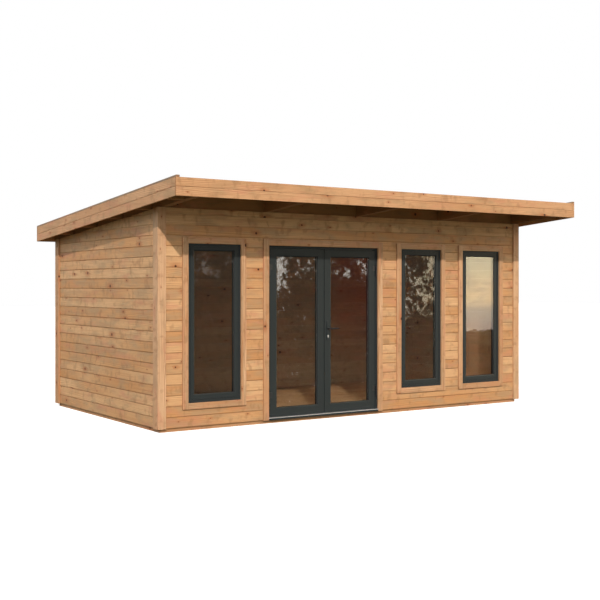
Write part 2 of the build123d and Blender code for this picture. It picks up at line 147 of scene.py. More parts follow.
window_frames = [f"window_frame_{place}" for place in ("left", "centre", "right")]
windows = [clear_opening(node) for node in window_frames]
door_left, _, door_right, door_head = clear_opening("door_frame")
doorway = (door_left, cladding_foot, door_right, door_head)
cuts = [
    (
        x0 - FRAME_LAP - LAP_CLEARANCE,
        z0 - FRAME_LAP,
        x1 + FRAME_LAP + LAP_CLEARANCE,
        z1 + FRAME_LAP + LAP_CLEARANCE,
    )
    for x0, z0, x1, z1 in windows
]
cuts.append(
    (
        door_left - FRAME_LAP - LAP_CLEARANCE,
        0.0,
        door_right + FRAME_LAP + LAP_CLEARANCE,
        door_head + FRAME_LAP,
    )
)


# Shader node helpers
def add_node(tree, kind, values=None, **settings):
    """A node with its settings, whose inputs take constants or other nodes' outputs."""
    node = tree.nodes.new(kind)
    for key, value in settings.items():
        setattr(node, key, value)
    for key, value in (values or {}).items():
        if isinstance(value, bpy.types.NodeSocket):
            tree.links.new(value, node.inputs[key])
        else:
            node.inputs[key].default_value = value
    return node


def calc(tree, operation, *values):
    """One step of arithmetic on numbers."""
    return add_node(tree, "ShaderNodeMath", dict(enumerate(values)), operation=operation).outputs[0]


def times(tree, first, second):
    """One number times another."""
    return calc(tree, "MULTIPLY", first, second)


def scaled(tree, value, scale, shift):
    """A number times a scale, plus a shift."""
    return calc(tree, "MULTIPLY_ADD", value, scale, shift)


def rest_of(tree, value):
    """What is missing from a number to one."""
    return calc(tree, "SUBTRACT", 1.0, value)


def vector_calc(tree, operation, *values):
    """One step of arithmetic on vectors: the outputs of its node."""
    return add_node(tree, "ShaderNodeVectorMath", dict(enumerate(values)), operation=operation).outputs


def split(tree, vector):
    """The three parts of a vector."""
    return add_node(tree, "ShaderNodeSeparateXYZ", {0: vector}).outputs


def joined(tree, *parts):
    """A vector from its parts."""
    return add_node(tree, "ShaderNodeCombineXYZ", dict(enumerate(parts))).outputs[0]


def object_place(tree):
    """Where a point lies on its object, in metres."""
    return add_node(tree, "ShaderNodeTexCoord").outputs["Object"]


def heading(tree):
    """Where a ray that leaves the scene heads, as three parts."""
    return split(tree, add_node(tree, "ShaderNodeTexCoord").outputs["Generated"])


def between(tree, value, low, high):
    """0 at low, 1 at high, and smooth in between."""
    return add_node(
        tree, "ShaderNodeMapRange", {"Value": value, "From Min": low, "From Max": high},
        interpolation_type="SMOOTHSTEP",
    ).outputs["Result"]


def blended(tree, share, first, second):
    """Two colours mixed by a share."""
    return add_node(
        tree, "ShaderNodeMix", {"Factor": share, 6: first, 7: second}, data_type="RGBA"
    ).outputs[2]


def mixed_shader(tree, share, first, second):
    """Two shaders mixed by a share."""
    return add_node(tree, "ShaderNodeMixShader", {0: share, 1: first, 2: second}).outputs[0]


def stretched(tree, vector, along, across, seed=0.0):
    """Noise coordinates that run slowly along the grain and fast across it."""
    parts = split(tree, vector)
    return joined(
        tree, times(tree, parts[0], along), times(tree, parts[1], across),
        calc(tree, "ADD", times(tree, parts[2], 3.0), seed),
    )


def noise(tree, vector, scale=1.0, detail=2.0, roughness=0.5):
    """Cloudy noise from 0 to 1."""
    return add_node(
        tree, "ShaderNodeTexNoise",
        {"Vector": vector, "Scale": scale, "Detail": detail, "Roughness": roughness},
    ).outputs["Fac"]


def new_group(name, inputs, outputs):
    """An empty shader group with its named sockets; returns the tree and both of its end nodes."""
    tree = bpy.data.node_groups.new(name, "ShaderNodeTree")
    for label, kind, default in inputs:
        socket = tree.interface.new_socket(label, in_out="INPUT", socket_type=kind)
        if default is not None:
            socket.default_value = default
    for label, kind in outputs:
        tree.interface.new_socket(label, in_out="OUTPUT", socket_type=kind)
    return tree, tree.nodes.new("NodeGroupInput").outputs, tree.nodes.new("NodeGroupOutput").inputs


def srgb(red, green, blue):
    """A colour given as it shows on a screen, as the linear light that shaders use."""
    parts = [value / 255 for value in (red, green, blue)]
    light = [v / 12.92 if v <= 0.04045 else ((v + 0.055) / 1.055) ** 2.4 for v in parts]
    return (*light, 1.0)


# Softwood: figure, knots and board-to-board tone
KNOT_CELL = (0.40, 0.085)
KNOT_RARITY = 2.4
SMALLEST_KNOT = 0.0042
KNOT_GROWTH = 0.0160
KNOT_STRETCH = 0.42
RING_PITCH = 0.013
# Noise on the grain: waves along and across it, a seed, detail and roughness
GRAIN_NOISE = {
    "drift": (0.7, 7.0, 0.0, 2.0, 0.5),
    "fibre": (7.0, 420.0, 0.0, 3.0, 0.6),
    "streak": (1.3, 55.0, 4.0, 3.0, 0.55),
    "patch": (3.2, 9.0, 9.0, 3.0, 0.55),
    "wide": (0.9, 2.5, 21.0, 1.0, 0.5),
    "rosy": (2.1, 7.0, 47.0, 3.0, 0.6),
    "smudge": (13.0, 9.0, 31.0, 2.0, 0.5),
}


def timber_group():
    """Planed softwood. Vector X runs along the grain and Y across it, in metres; Z is the board's number.

    Each cell of a stretched grid has one place for a knot, which is taken where a draw is under
    Knotty. The rings are a sine of the way across, moved by slow noise and pushed aside by knots."""
    tree, given, out = new_group(
        "timber_figure",
        [
            ("Grain", "NodeSocketVector", None),
            ("Tone", "NodeSocketFloat", 0.5),
            ("End grain", "NodeSocketFloat", 0.0),
            ("Joint", "NodeSocketFloat", 0.0),
            ("Pale", "NodeSocketColor", (0.6, 0.4, 0.2, 1)),
            ("Warm", "NodeSocketColor", (0.5, 0.3, 0.15, 1)),
            ("Grey", "NodeSocketColor", (0.45, 0.33, 0.2, 1)),
            ("Knotty", "NodeSocketFloat", 0.4),
            ("Figure", "NodeSocketFloat", 1.0),
        ],
        [
            ("Colour", "NodeSocketColor"),
            ("Roughness", "NodeSocketFloat"),
            ("Relief", "NodeSocketFloat"),
        ],
    )
    grain = given["Grain"]

    # Knots: their place, size and ragged outline
    cells = (1 / KNOT_CELL[0], 1 / KNOT_CELL[1], 0)
    cell = vector_calc(tree, "MULTIPLY", grain, cells)[0]
    seeds = add_node(
        tree, "ShaderNodeTexVoronoi", {"Vector": cell, "Scale": 1.0}, voronoi_dimensions="2D"
    ).outputs
    away = vector_calc(tree, "SUBTRACT", cell, seeds["Position"])[0]
    away = vector_calc(tree, "MULTIPLY", away, (*KNOT_CELL, 0))[0]
    luck = add_node(tree, "ShaderNodeSeparateColor", {0: seeds["Color"]}).outputs
    taken = calc(tree, "LESS_THAN", luck[0], given["Knotty"])
    size = scaled(tree, calc(tree, "POWER", luck[1], KNOT_RARITY), KNOT_GROWTH, SMALLEST_KNOT)
    size = times(tree, size, calc(tree, "MAXIMUM", taken, 0.001))
    ragged = scaled(tree, noise(tree, grain, 160.0, 2.0), 0.5, 0.75)
    reach = times(tree, vector_calc(tree, "LENGTH", away)["Value"], ragged)
    reach = calc(tree, "DIVIDE", reach, size)
    knot = rest_of(tree, between(tree, reach, 0.75, 1.1))
    heart = rest_of(tree, between(tree, reach, 0.2, 0.8))
    long_away = vector_calc(tree, "MULTIPLY", away, (KNOT_STRETCH, 1.0, 0))[0]
    long_reach = calc(tree, "DIVIDE", vector_calc(tree, "LENGTH", long_away)["Value"], size)
    swell = rest_of(tree, between(tree, long_reach, 0.4, 3.4))

    # Growth rings, pushed aside by the knots
    cloud = {
        name: noise(tree, stretched(tree, grain, *row[:3]), 1.0, *row[3:])
        for name, row in GRAIN_NOISE.items()
    }
    push = times(tree, split(tree, away)[1], times(tree, swell, 0.8))
    pushed = calc(tree, "SUBTRACT", split(tree, grain)[1], push)
    ring = scaled(tree, pushed, 1 / RING_PITCH, times(tree, cloud["drift"], 7.0))
    wave = scaled(tree, calc(tree, "SINE", times(tree, ring, math.tau)), 0.5, 0.5)
    late = calc(tree, "POWER", wave, 2.5)

    # Colour: the board's tone, then each mark over it as its share, its strength and its colour.
    # Sawn ends are darker, and joints hold dust and painted shade
    hue = calc(tree, "ADD", times(tree, given["Tone"], 0.38), times(tree, cloud["wide"], 0.62))
    colour = blended(tree, between(tree, hue, 0.28, 0.70), given["Pale"], given["Warm"])
    greyed = calc(tree, "ADD", cloud["patch"], times(tree, given["Tone"], 0.10))
    marks = (
        (between(tree, greyed, 0.46, 0.74), 0.72, given["Grey"]),
        (times(tree, late, 0.36), given["Figure"], srgb(156, 98, 56)),
        (between(tree, cloud["streak"], 0.45, 0.8), 0.45, srgb(176, 118, 74)),
        (between(tree, cloud["fibre"], 0.35, 0.75), 0.20, srgb(140, 92, 56)),
        (between(tree, cloud["rosy"], 0.50, 0.72), 0.50, srgb(198, 133, 102)),
        (between(tree, cloud["smudge"], 0.53, 0.72), 0.44, srgb(154, 112, 74)),
        (swell, times(tree, taken, 0.55), srgb(168, 96, 54)),
        (knot, times(tree, taken, 0.92), srgb(88, 48, 27)),
        (heart, times(tree, taken, 0.7), srgb(44, 26, 17)),
        (given["End grain"], 0.55, srgb(150, 100, 62)),
        # Dust and painted shade in the joints: the faces between boards are darkened where shade falls
        (given["Joint"], 0.52, srgb(108, 64, 34)),
    )
    for share, strength, tint in marks:
        colour = blended(tree, times(tree, share, strength), colour, tint)
    tree.links.new(colour, out["Colour"])

    rough = scaled(tree, cloud["fibre"], 0.16, 0.52)
    rough = calc(tree, "ADD", rough, times(tree, given["End grain"], 0.15))
    tree.links.new(calc(tree, "SUBTRACT", rough, times(tree, knot, 0.1)), out["Roughness"])
    relief = scaled(tree, cloud["fibre"], 0.35, times(tree, late, 0.45))
    sunk = times(tree, knot, times(tree, taken, 0.8))
    tree.links.new(calc(tree, "SUBTRACT", relief, sunk), out["Relief"])
    return tree


timber_figure = timber_group()


def blank_material(name):
    """A material with its tree and its shader, ready for nodes."""
    material = bpy.data.materials.new(name)
    material.use_nodes = True
    tree = material.node_tree
    return material, tree, tree.nodes["Principled BSDF"]


def bumped(tree, shader, height, strength, distance):
    """Relief as a bump on the shader's normal."""
    values = {"Height": height, "Strength": strength, "Distance": distance}
    bump = add_node(tree, "ShaderNodeBump", values)
    tree.links.new(bump.outputs["Normal"], shader.inputs["Normal"])


def use_timber(tree, shader, grain, tone, tones, knotty, figure, end=0.0, joint=0.0):
    """Lays the timber figure on a shader. tones has the pale, the warm and the grey colour."""
    pale, warm, grey = (srgb(*colour) for colour in tones)
    values = {
        "Grain": grain, "Tone": tone, "End grain": end, "Joint": joint, "Pale": pale, "Warm": warm,
        "Grey": grey, "Knotty": knotty, "Figure": figure,
    }
    laid = add_node(tree, "ShaderNodeGroup", values, node_tree=timber_figure).outputs
    tree.links.new(laid["Colour"], shader.inputs["Base Color"])
    tree.links.new(laid["Roughness"], shader.inputs["Roughness"])
    bumped(tree, shader, laid["Relief"], 0.5, 0.0006)
    shader.inputs["Specular IOR Level"].default_value = 0.22


def board_timber(name, tones, knotty, figure):
    """Timber for boards that carry their own grain map, tone, end-grain and joint marks."""
    material, tree, shader = blank_material(name)
    along = split(tree, add_node(tree, "ShaderNodeUVMap", uv_map="grain").outputs["UV"])
    tone, end, joint = (
        add_node(tree, "ShaderNodeAttribute", attribute_name=label).outputs["Fac"]
        for label in ("board_tone", "end_grain", "joint_shade")
    )
    grain = joined(tree, along[0], along[1], tone)
    use_timber(tree, shader, grain, tone, tones, knotty, figure, end, joint)
    return material


def sawn_timber(name, along, tones, knotty, tone_step):
    """Timber for the carcass. along is the axis that its grain follows, the other two run across it,
    and its tone changes with each tone_step of the first of them."""
    material, tree, shader = blank_material(name)
    parts = split(tree, object_place(tree))
    first, second = (parts[axis] for axis in range(3) if axis != along)
    across = calc(tree, "ADD", first, second)
    step = calc(tree, "ROUND", calc(tree, "DIVIDE", first, tone_step))
    tone = add_node(
        tree, "ShaderNodeTexWhiteNoise", {"W": step}, noise_dimensions="1D"
    ).outputs["Value"]
    grain = joined(tree, parts[along], across, tone)
    use_timber(tree, shader, grain, tone, tones, knotty, 1.0)
    return material


# Timbers of the boards: pale, warm and grey tone, share of knots, strength of the rings
BOARD_TIMBERS = {
    "cladding": (((227, 184, 136), (206, 153, 101), (180, 152, 116)), 0.23, 1.0),
    "trim": (((225, 185, 145), (202, 153, 111), (184, 156, 122)), 0.34, 1.7),
    "fascia": (((222, 176, 132), (198, 148, 104), (176, 146, 108)), 0.30, 1.5),
    "verge": (((166, 150, 126), (148, 132, 108), (130, 122, 108)), 0.20, 1.0),
    "lining": (((206, 164, 126), (193, 144, 104), (172, 144, 112)), 0.30, 1.0),
    "floor": (((242, 186, 138), (230, 166, 116), (208, 162, 122)), 0.28, 1.0),
    "roof": (((208, 166, 114), (186, 144, 94), (168, 142, 100)), 0.45, 1.0),
}
# Timbers of the carcass: the axis of the grain, the same tones, share of knots, step of the tone
BEARER_TONES = ((196, 150, 108), (178, 132, 92), (158, 128, 96))
SAWN_TIMBERS = {
    "rafter": (1, ((154, 114, 78), (136, 98, 63), (122, 96, 71)), 0.3, 1.23),
    "lookout": (0, ((166, 124, 82), (146, 104, 67), (128, 101, 74)), 0.3, 0.7),
    "bearer": (0, BEARER_TONES, 0.3, 0.68),
    "end_bearer": (1, BEARER_TONES, 0.3, 2.0),
    "wall_core": (0, ((206, 160, 114), (190, 140, 94), (170, 136, 98)), 0.3, 9.0),
}
timbers = {name: board_timber(f"{name}_timber", *row) for name, row in BOARD_TIMBERS.items()}
timbers |= {name: sawn_timber(f"{name}_timber", *row) for name, row in SAWN_TIMBERS.items()}


# Boards: a section carried along a run, closed at both ends
def tongued_section(thickness, bevel, depth, tongue, upper):
    """Outline of a matched board seen on its end, as rows of (edge, inset, out, joint).

    edge is 0 at the lower edge and 1 at the upper one, inset is metres in from that edge, and out
    is metres from the board's back. The lower edge has a groove and a bevel on its face that is
    bevel wide and depth deep, and the upper one a tongue and a bevel of upper both ways. joint says
    how much dust and painted shade a face holds: all of it on the faces in the gap between boards,
    where shade falls, and a smaller share on the bevels."""
    middle = thickness * TONGUE_PLACE
    half = tongue / 2
    rows = [
        (0, 0, 0, 0),
        (0, 0, middle - half - TONGUE_SLACK, 0),
        (0, tongue, middle - half - TONGUE_SLACK, 0),
        (0, tongue, middle + half + TONGUE_SLACK, 0),
        (0, 0, middle + half + TONGUE_SLACK, 1),
        (0, 0, thickness - depth, BEVEL_DUST_AND_SHADE),
        (0, bevel, thickness, 0),
        (1, -upper, thickness, BEVEL_DUST_AND_SHADE),
        (1, 0, thickness - upper, 1),
        (1, 0, middle + half, 1),
        (1, tongue, middle + half, 1),
        (1, tongue, middle - half, 0),
        (1, 0, middle - half, 0),
        (1, 0, 0, 0),
    ]
    return np.array(rows, float)


def square_section(thickness):
    """Outline of a planed board seen on its end, in the same rows."""
    rows = [(0, 0, 0, 0), (0, 0, thickness, 0), (1, 0, thickness, 0), (1, 0, 0, 0)]
    return np.array(rows, float)


def without_tongue(section):
    """The section of a board that is ripped along its upper edge."""
    ripped = section.copy()
    ripped[section[:, 1] * section[:, 0] > 0, 1] = 0.0
    return ripped


def carried_board(stations, section, place, draw):
    """One board as a closed skin, from its section carried over its stations.

    stations has a row of (along, lower edge, upper edge) for each place; a section point lies across
    the board at lower + edge * (upper - lower) + inset. place turns (along, across, out) into points
    of the frame. The grain map is (along, across) in metres, moved by two random lengths."""
    stations = np.asarray(stations, float)
    edge, inset, out, joint = section.T
    lower, upper = stations[:, 1:2], stations[:, 2:3]
    across = lower + edge * (upper - lower) + inset
    along = np.repeat(stations[:, :1], len(section), axis=1)
    depth = np.broadcast_to(out, across.shape)
    points = place(along, across, depth)
    count, girth = across.shape
    ring = np.arange(girth)
    following = (ring + 1) % girth
    row = np.arange(count - 1)[:, None] * girth
    corners = np.stack([row + ring, row + following, row + girth + following, row + girth + ring], -1)
    sides = corners.reshape(-1, 4)
    folded = across + np.where(edge > 0.5, 1.0, -1.0) * (out.max() - depth)
    shift = draw.uniform(0, 40, 2)
    grain = np.stack([along + shift[0], folded + shift[1]], -1).reshape(-1, 2)
    ends = [ring[::-1], ring + (count - 1) * girth]
    end_map = np.stack([depth + shift[0], across + shift[1]], -1).reshape(-1, 2)
    return {
        "points": points.reshape(-1, 3),
        "faces": sides.tolist() + [end.tolist() for end in ends],
        "grain": np.concatenate([grain[sides].reshape(-1, 2)] + [end_map[end] for end in ends]),
        "tone": np.full(count * girth, draw.uniform(0, 1)),
        "end": np.concatenate([np.zeros(len(sides)), np.ones(2)]),
        "joint": np.concatenate([np.tile(joint, count - 1), np.zeros(2)]),
    }


def mesh_of(name, shells):
    """One mesh from several closed skins, with their grain maps, tones and marks."""
    starts = np.cumsum([0] + [len(shell["points"]) for shell in shells])
    faces = [
        [corner + int(start) for corner in face]
        for start, shell in zip(starts, shells)
        for face in shell["faces"]
    ]
    mesh = bpy.data.meshes.new(name)
    mesh.from_pydata(np.concatenate([shell["points"] for shell in shells]).tolist(), [], faces)
    if "grain" in shells[0]:
        layer = mesh.uv_layers.new(name="grain")
        layer.data.foreach_set("uv", np.concatenate([s["grain"] for s in shells]).astype("f").ravel())
        for label, key, domain in (
            ("board_tone", "tone", "POINT"),
            ("end_grain", "end", "FACE"),
            ("joint_shade", "joint", "FACE"),
        ):
            mark = mesh.attributes.new(label, "FLOAT", domain)
            mark.data.foreach_set("value", np.concatenate([s[key] for s in shells]).astype("f"))
    cleaned = bmesh.new()
    cleaned.from_mesh(mesh)
    bmesh.ops.remove_doubles(cleaned, verts=cleaned.verts, dist=SAME_PLACE)
    bmesh.ops.dissolve_degenerate(cleaned, edges=cleaned.edges, dist=SAME_PLACE)
    bmesh.ops.recalc_face_normals(cleaned, faces=cleaned.faces)
    cleaned.to_mesh(mesh)
    cleaned.free()
    return mesh


def put_in_scene(name, data):
    """A new object in the scene."""
    made = bpy.data.objects.new(name, data)
    bpy.context.scene.collection.objects.link(made)
    return made


def piece(name, shells, material, body="building", stands_for=(), arris=0.0, smooth=0.0):
    """A finished object from closed skins: it rides on a body, takes a material and may stand for nodes."""
    mesh = mesh_of(name, shells)
    mesh.materials.append(material)
    if smooth:
        mesh.polygons.foreach_set("use_smooth", np.ones(len(mesh.polygons), bool))
        mesh.set_sharp_from_angle(angle=math.radians(smooth))
    made = put_in_scene(name, mesh)
    if arris:
        eased = made.modifiers.new("eased_arris", "BEVEL")
        eased.width = arris
        eased.segments = 2
        eased.limit_method = "ANGLE"
        eased.angle_limit = math.radians(ARRIS_ANGLE)
    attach(made, body)
    if stands_for:
        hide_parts(*stands_for)
    return made


# Directions in which a board's face may look
def faces_front(y):
    """Along is X, across is Z, and the face looks to the front from a back at y."""
    return lambda along, across, out: np.stack([along, y - out, across], -1)


def faces_back(y):
    """Along is X, across is Z, and the face looks to the back."""
    return lambda along, across, out: np.stack([along, y + out, across], -1)


def faces_left(x):
    """Along is Y, across is Z, and the face looks to the left."""
    return lambda along, across, out: np.stack([x - out, along, across], -1)


def faces_right(x):
    """Along is Y, across is Z, and the face looks to the right."""
    return lambda along, across, out: np.stack([x + out, along, across], -1)


def stands(place, under_roof=True):
    """The same face for a board that stands up: along is Z, and its top is cut to the roof."""

    def upright(along, across, out):
        points = place(across, along, out)
        if under_roof:
            limit = roof_line(points[..., 1], rafter_under)
            points[..., 2] = np.minimum(points[..., 2], limit)
        return points

    return upright


# Cladding and lining
def course_runs(start, end, foot, head, openings):
    """Runs of one course between the openings it meets; it steps where an opening takes part of it."""
    met = [o for o in openings if o[1] < head - SAME_PLACE and o[3] > foot + SAME_PLACE]
    places = sorted({start, end, *[x for o in met for x in (o[0], o[2]) if start < x < end]})
    runs, current = [], []
    for near, far in zip(places[:-1], places[1:]):
        low, high = foot, head
        for x0, z0, x1, z1 in met:
            if x0 - SAME_PLACE <= near and far <= x1 + SAME_PLACE:
                if z0 > foot + THINNEST_RIP:
                    high = z0
                elif z1 < head - THINNEST_RIP:
                    low = z1
                else:
                    high = low
        if high - low < THINNEST_RIP:
            if current:
                runs.append(current)
            current = []
            continue
        current += [(near, low, high), (far, low, high)]
    if current:
        runs.append(current)
    return runs


def thinned(run):
    """Stations without the ones that repeat their neighbour."""
    kept = [run[0]]
    for station in run[1:]:
        if station != kept[-1]:
            kept.append(station)
    return kept


def level_courses(start, end, foot, y_top, openings, section, place, draw):
    """Courses of a wall whose top is level, with the last one ripped down to fit."""
    boards = []
    top = roof_line(y_top, rafter_under)
    count = math.ceil((top - foot) / COURSE_HEIGHT)
    for index in range(count):
        low = foot + index * COURSE_HEIGHT + BOARD_GAP / 2
        high = min(foot + (index + 1) * COURSE_HEIGHT - BOARD_GAP / 2, top)
        cut = without_tongue(section) if index == count - 1 else section
        for run in course_runs(start, end, low, high, openings):
            boards.append(carried_board(thinned(run), cut, place, draw))
    return boards


def sloping_courses(front, back, foot, section, place, draw):
    """Courses of an end wall: each is cut to the roof, and the top ones stop where it meets them."""
    boards = []
    head = roof_line(front, rafter_under)
    for index in range(math.ceil((head - foot) / COURSE_HEIGHT)):
        low = foot + index * COURSE_HEIGHT + BOARD_GAP / 2
        high = foot + (index + 1) * COURSE_HEIGHT - BOARD_GAP / 2
        meets_high = front + (head - high) / roof_fall
        meets_low = front + (head - low - THINNEST_RIP) / roof_fall
        end = min(back, meets_low)
        if end - front < SHORTEST_BOARD:
            continue
        places = [front] + [meets_high] * (front < meets_high < end) + [end]
        stations = [(y, low, min(high, roof_line(y, rafter_under))) for y in places]
        cut = without_tongue(section) if meets_high < back else section
        boards.append(carried_board(stations, cut, place, draw))
    return boards


def dress_walls():
    """Matched boards outside and inside the four walls."""
    cladding_thickness = abs(front_face - base_low.y)
    outside = tongued_section(cladding_thickness, JOINT_BEVEL, JOINT_DEPTH, TONGUE, UPPER_BEVEL)
    inside = tongued_section(LINING_THICKNESS, LINING_JOINT, LINING_JOINT, LINING_TONGUE, LINING_JOINT)
    inner_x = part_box("left_wall")[1].x
    inner_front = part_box("front_wall_over_door")[1].y
    inner_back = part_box("back_wall")[0].y
    across = (left_face, right_face, cladding_foot)
    lining_across = (inner_x, -inner_x, deck_top)
    ends = (base_low.y, base_high.y, cladding_foot)
    lining_ends = (inner_front + LINING_THICKNESS, inner_back - LINING_THICKNESS, deck_top)
    # Each wall's seed, its courses with their run and foot, and its face
    walls = (
        ("front_cladding", 11, level_courses, (*across, front_face, cuts), faces_front(base_low.y)),
        ("back_cladding", 12, level_courses, (*across, back_face, []), faces_back(base_high.y)),
        ("left_cladding", 111, sloping_courses, ends, faces_left(base_low.x)),
        ("right_cladding", 14, sloping_courses, ends, faces_right(base_high.x)),
        ("front_lining", 15, level_courses, (*lining_across, inner_front, cuts), faces_back(inner_front)),
        ("back_lining", 16, level_courses, (*lining_across, inner_back, []), faces_front(inner_back)),
        ("left_lining", 17, sloping_courses, lining_ends, faces_right(inner_x)),
        ("right_lining", 18, sloping_courses, lining_ends, faces_left(-inner_x)),
    )
    for name, seed, courses, run, place in walls:
        draw = np.random.default_rng(seed)
        if name.endswith("cladding"):
            boards = courses(*run, outside, place, draw)
            piece(f"{name}_boards", boards, timbers["cladding"], stands_for=[name])
        else:
            boards = courses(*run, inside, place, draw)
            piece(f"{name}_boards", boards, timbers["lining"])


# Trims, corner boards and fascias
TRIM_SEED = 31
CORNER_SEED = 43
FASCIA_SEED = 41


def framed_boards(x0, z0, x1, z1, width, place, draw, foot=True):
    """Boards round an opening: two stand beside it, and a head (and a foot) lie between them."""
    section = square_section(TRIM_THICKNESS)
    low, high = (z0 - width if foot else z0), z1 + width
    boards = [
        carried_board([(z, x, x + width) for z in (low, high)], section, stands(place, False), draw)
        for x in (x0 - width, x1)
    ]
    for z_low, z_high in [(z1, high)] + [(z0 - width, z0)] * foot:
        stations = [(x, z_low, z_high) for x in (x0, x1)]
        boards.append(carried_board(stations, section, place, draw))
    return boards


def dress_trims():
    """Boards round the windows and the doorway, and on the corners."""
    draw = np.random.default_rng(TRIM_SEED)
    on_front = faces_front(front_face)
    piece(
        "window_trim_boards",
        [b for opening in windows for b in framed_boards(*opening, WINDOW_TRIM_WIDTH, on_front, draw)],
        timbers["trim"], stands_for=["window_trims"], arris=ARRIS,
    )
    piece(
        "door_trim_boards",
        framed_boards(*doorway, DOOR_TRIM_WIDTH, on_front, draw, foot=False),
        timbers["trim"], stands_for=["door_trim"], arris=ARRIS,
    )
    draw = np.random.default_rng(CORNER_SEED)
    section = square_section(TRIM_THICKNESS)
    top = roof_line(front_face, rafter_under) + CORNER_BOARD_EXCESS
    wide = CORNER_BOARD_WIDTH
    outer_left, outer_right = left_face - TRIM_THICKNESS, right_face + TRIM_THICKNESS
    # Each pair of walls: its piece, its node, both faces, and where a face's two boards start
    pairs = (
        (
            "front_back_corner_boards", "front_corner_boards",
            (faces_front(front_face), faces_back(back_face)), (outer_left, outer_right - wide),
        ),
        (
            "side_corner_boards", "end_corner_boards",
            (faces_left(left_face), faces_right(right_face)), (front_face, back_face - wide),
        ),
    )
    for name, node, places, starts in pairs:
        posts = [
            carried_board(
                [(z, low, low + wide) for z in (cladding_foot, top)], section, stands(place), draw
            )
            for place in places
            for low in starts
        ]
        piece(name, posts, timbers["trim"], stands_for=[node], arris=ARRIS)


def dress_fascias():
    """Two boards deep round the roof, with a strip on each verge."""
    draw = np.random.default_rng(FASCIA_SEED)
    outer_low, outer_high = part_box("left_fascia")[0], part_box("right_fascia")[1]
    front, back = outer_low.y, outer_high.y
    section = square_section(FASCIA_THICKNESS)
    backing = square_section(FASCIA_THICKNESS - FASCIA_JOINT_DEPTH)
    lower_board = FASCIA_UPPER_BOARD + FASCIA_JOINT
    # Upper and lower edge below the roof's line: both boards, and the strip behind their joint
    layers = (
        (0.0, FASCIA_UPPER_BOARD, section),
        (lower_board, FASCIA_HEIGHT, section),
        (FASCIA_UPPER_BOARD, lower_board, backing),
    )
    # Each side's ends as (along, the y whose roof line it hangs from), and its face
    falling = [(y, y) for y in (covering_low.y, covering_high.y)]
    sides = (
        ("front", [(x, covering_low.y) for x in (outer_low.x, outer_high.x)], faces_front(covering_low.y)),
        ("back", [(x, back) for x in (outer_low.x, outer_high.x)], faces_back(covering_high.y)),
        ("left", falling, faces_left(covering_low.x)),
        ("right", falling, faces_right(covering_high.x)),
    )
    for side, ends, place in sides:
        boards = [
            carried_board([(at, roof_line(y, low), roof_line(y, high)) for at, y in ends], cut, place, draw)
            for high, low, cut in layers
        ]
        piece(
            f"{side}_fascia_boards", boards, timbers["fascia"],
            stands_for=[f"{side}_fascia"], arris=ARRIS,
        )

    def lies_on_roof(along, across, out):
        """Along is Y, across is X, and the face looks up from the roof's surface."""
        return np.stack([across, along, roof_line(along) + out], -1)

    section = square_section(strip_high.z - roof_line(front))
    strips = [
        carried_board(
            [(y, low, low + VERGE_STRIP_WIDTH) for y in (front, back)], section, lies_on_roof, draw
        )
        for low in (strip_low.x, strip_high.x - VERGE_STRIP_WIDTH)
    ]
    piece(
        "verge_strip_boards", strips, timbers["verge"], stands_for=["verge_strips"],
        arris=ARRIS,
    )


# Floor and roof boarding
FLOOR_SEED = 51
ROOF_SEED = 52
ROOFING_SEED = 61


def matched_deck(low, high, width, gap, section, place, draw):
    """Matched boards laid along X, side by side from low.y to high.y, the last without its tongue."""
    count = round((high.y - low.y) / width)
    edges = np.linspace(low.y, high.y, count + 1)
    boards = []
    for index, (near, far) in enumerate(zip(edges[:-1], edges[1:])):
        cut = without_tongue(section) if index == count - 1 else section
        stations = [(x, near + gap / 2, far - gap / 2) for x in (low.x, high.x)]
        boards.append(carried_board(stations, cut, place, draw))
    return boards


def dress_floor():
    """Matched floor boards, whose face looks up."""
    section = tongued_section(base_high.z - base_low.z, FLOOR_JOINT, FLOOR_JOINT, TONGUE, FLOOR_JOINT)

    def faces_up(along, across, out):
        return np.stack([along, across, base_low.z + out], -1)

    draw = np.random.default_rng(FLOOR_SEED)
    boards = matched_deck(
        base_low, base_high, FLOOR_BOARD_WIDTH, FLOOR_BOARD_GAP, section, faces_up, draw
    )
    piece("floor_deck_boards", boards, timbers["floor"], stands_for=["floor_deck"])


def dress_roof():
    """Matched roof boards, whose face looks down."""
    section = tongued_section(ROOF_DECK_THICKNESS, ROOF_JOINT, ROOF_JOINT, ROOF_TONGUE, ROOF_JOINT)

    def faces_down(along, across, out):
        return np.stack([along, across, roof_line(across, COVERING_THICKNESS + out)], -1)

    draw = np.random.default_rng(ROOF_SEED)
    boards = matched_deck(
        covering_low, covering_high, ROOF_BOARD_WIDTH, ROOF_BOARD_GAP, section, faces_down, draw
    )
    piece("roof_deck_boards", boards, timbers["roof"], stands_for=["roof_deck"])


